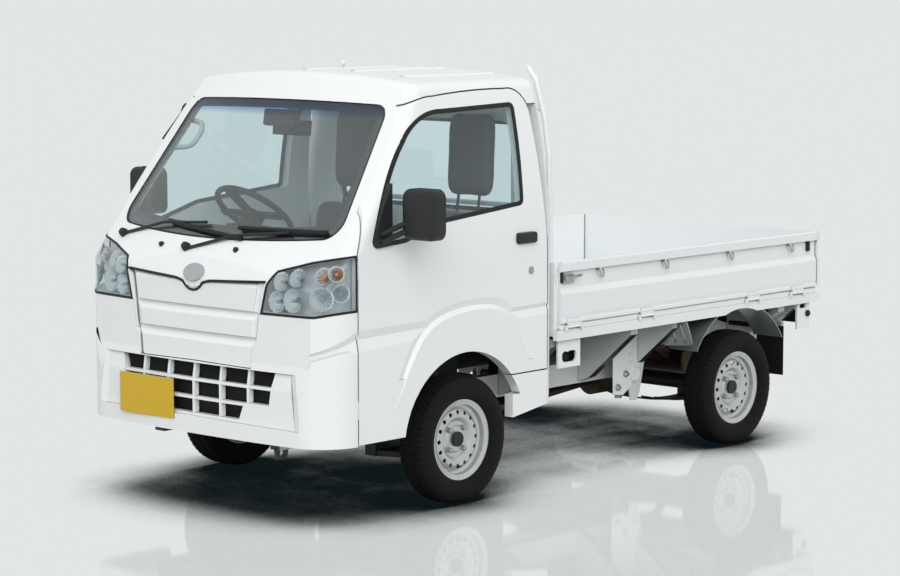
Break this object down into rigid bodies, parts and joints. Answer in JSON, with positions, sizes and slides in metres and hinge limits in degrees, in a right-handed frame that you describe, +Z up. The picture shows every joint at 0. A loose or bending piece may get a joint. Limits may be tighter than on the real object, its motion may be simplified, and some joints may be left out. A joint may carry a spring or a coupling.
{
  "type": "kei truck",
  "caption": "Small two-seat cab-over flatbed truck, right-hand drive, with drop-down bed sides, opening doors and steered wheels",
  "frame": {"origin": "on the ground below the middle of the overall length and width", "axes": "+Z up, -Y towards the front of the truck, +X towards its left side"},
  "size_m": [1.91, 3.395, 1.7799],
  "materials": {
    "body_white": "gloss",
    "glass": "gloss",
    "clear_lens": "gloss",
    "reflector": "polished",
    "black_plastic": "satin",
    "seat_cloth": "matte",
    "plate_yellow": "satin",
    "chassis_black": "satin",
    "exhaust_steel": "satin",
    "engine_iron": "matte",
    "lamp_red": "gloss",
    "guard_grey": "matte",
    "rubber": "matte",
    "wheel_steel": "satin",
    "tyre": "matte"
  },
  "bodies": {
    "truck": {"bed_floor": "body_white", "bed_headboard": "body_white", "cab_back": "body_white", "cab_floor": "body_white", "cab_front": "body_white", "cab_guard": "body_white", "cab_roof": "body_white", "chassis_frame": "body_white", "dashboard": "black_plastic", "engine": "engine_iron", "exhaust": "exhaust_steel", "front_bumper": "body_white", "front_garnish": "body_white", "front_grille": "body_white", "front_suspension": "chassis_black", "fuel_tank": "chassis_black", "headlamp_lenses": "clear_lens", "headlamps": "reflector", "leaf_springs": "chassis_black", "licence_plate": "plate_yellow", "mud_flaps": "rubber", "mudguards": "guard_grey", "propeller_shaft": "chassis_black", "rear_axle": "chassis_black", "rear_window": "glass", "seats": "seat_cloth", "steering_column": "black_plastic", "tail_lamps": "lamp_red", "windscreen": "glass", "wipers": "black_plastic"},
    "door_left": {"door_left": "body_white", "door_left_glass": "glass", "mirror_left": "black_plastic", "door_handle_left": "black_plastic"},
    "gate_left": {"gate_left": "body_white"},
    "knuckle_left": {"knuckle_left": "chassis_black"},
    "wheel_front_left": {"rim_front_left": "wheel_steel", "tyre_front_left": "tyre"},
    "wheel_rear_left": {"rim_rear_left": "wheel_steel", "tyre_rear_left": "tyre"},
    "door_right": {"door_right": "body_white", "door_right_glass": "glass", "mirror_right": "black_plastic", "door_handle_right": "black_plastic"},
    "gate_right": {"gate_right": "body_white"},
    "knuckle_right": {"knuckle_right": "chassis_black"},
    "wheel_front_right": {"rim_front_right": "wheel_steel", "tyre_front_right": "tyre"},
    "wheel_rear_right": {"rim_rear_right": "wheel_steel", "tyre_rear_right": "tyre"},
    "tailgate": {"tailgate": "body_white"},
    "steering_wheel": {"steering_wheel": "black_plastic"}
  },
  "joints": [
    {"name": "door_left_hinge", "type": "hinge", "parent": "truck", "child": "door_left", "pos_m": [0.727, -1.478, 0.8], "axis": [0, 0, -1], "range_deg": [0, 65]},
    {"name": "door_right_hinge", "type": "hinge", "parent": "truck", "child": "door_right", "pos_m": [-0.727, -1.478, 0.8], "axis": [0, 0, 1], "range_deg": [0, 65]},
    {"name": "gate_left_hinge", "type": "hinge", "parent": "truck", "child": "gate_left", "pos_m": [0.7345, 0.7, 0.672], "axis": [0, 1, 0], "range_deg": [0, 180]},
    {"name": "gate_right_hinge", "type": "hinge", "parent": "truck", "child": "gate_right", "pos_m": [-0.7345, 0.7, 0.672], "axis": [0, -1, 0], "range_deg": [0, 180]},
    {"name": "tailgate_hinge", "type": "hinge", "parent": "truck", "child": "tailgate", "pos_m": [0, 1.6925, 0.672], "axis": [-1, 0, 0], "range_deg": [0, 180]},
    {"name": "steer_left", "type": "hinge", "parent": "truck", "child": "knuckle_left", "pos_m": [0.6, -0.844, 0.182], "axis": [-0.1781, 0, 0.984], "range_deg": [-32, 32]},
    {"name": "steer_right", "type": "hinge", "parent": "truck", "child": "knuckle_right", "pos_m": [-0.6, -0.844, 0.182], "axis": [0.1781, 0, 0.984], "range_deg": [-32, 32]},
    {"name": "steering_wheel_turn", "type": "hinge", "parent": "truck", "child": "steering_wheel", "pos_m": [-0.33, -1.02, 1.15], "axis": [0, 0.6428, 0.766], "range_deg": [-480, 480]},
    {"name": "wheel_front_left_spin", "type": "hinge", "parent": "knuckle_left", "child": "wheel_front_left", "pos_m": [0.6525, -0.844, 0.266], "axis": [1, 0, 0], "continuous": true},
    {"name": "wheel_rear_left_spin", "type": "hinge", "parent": "truck", "child": "wheel_rear_left", "pos_m": [0.65, 1.056, 0.266], "axis": [1, 0, 0], "continuous": true},
    {"name": "wheel_front_right_spin", "type": "hinge", "parent": "knuckle_right", "child": "wheel_front_right", "pos_m": [-0.6525, -0.844, 0.266], "axis": [1, 0, 0], "continuous": true},
    {"name": "wheel_rear_right_spin", "type": "hinge", "parent": "truck", "child": "wheel_rear_right", "pos_m": [-0.65, 1.056, 0.266], "axis": [1, 0, 0], "continuous": true}
  ],
  "couplings": [
    {"joint": "steer_right", "follows": "steer_left", "ratio": 1},
    {"joint": "steering_wheel_turn", "follows": "steer_left", "ratio": 15}
  ]
}
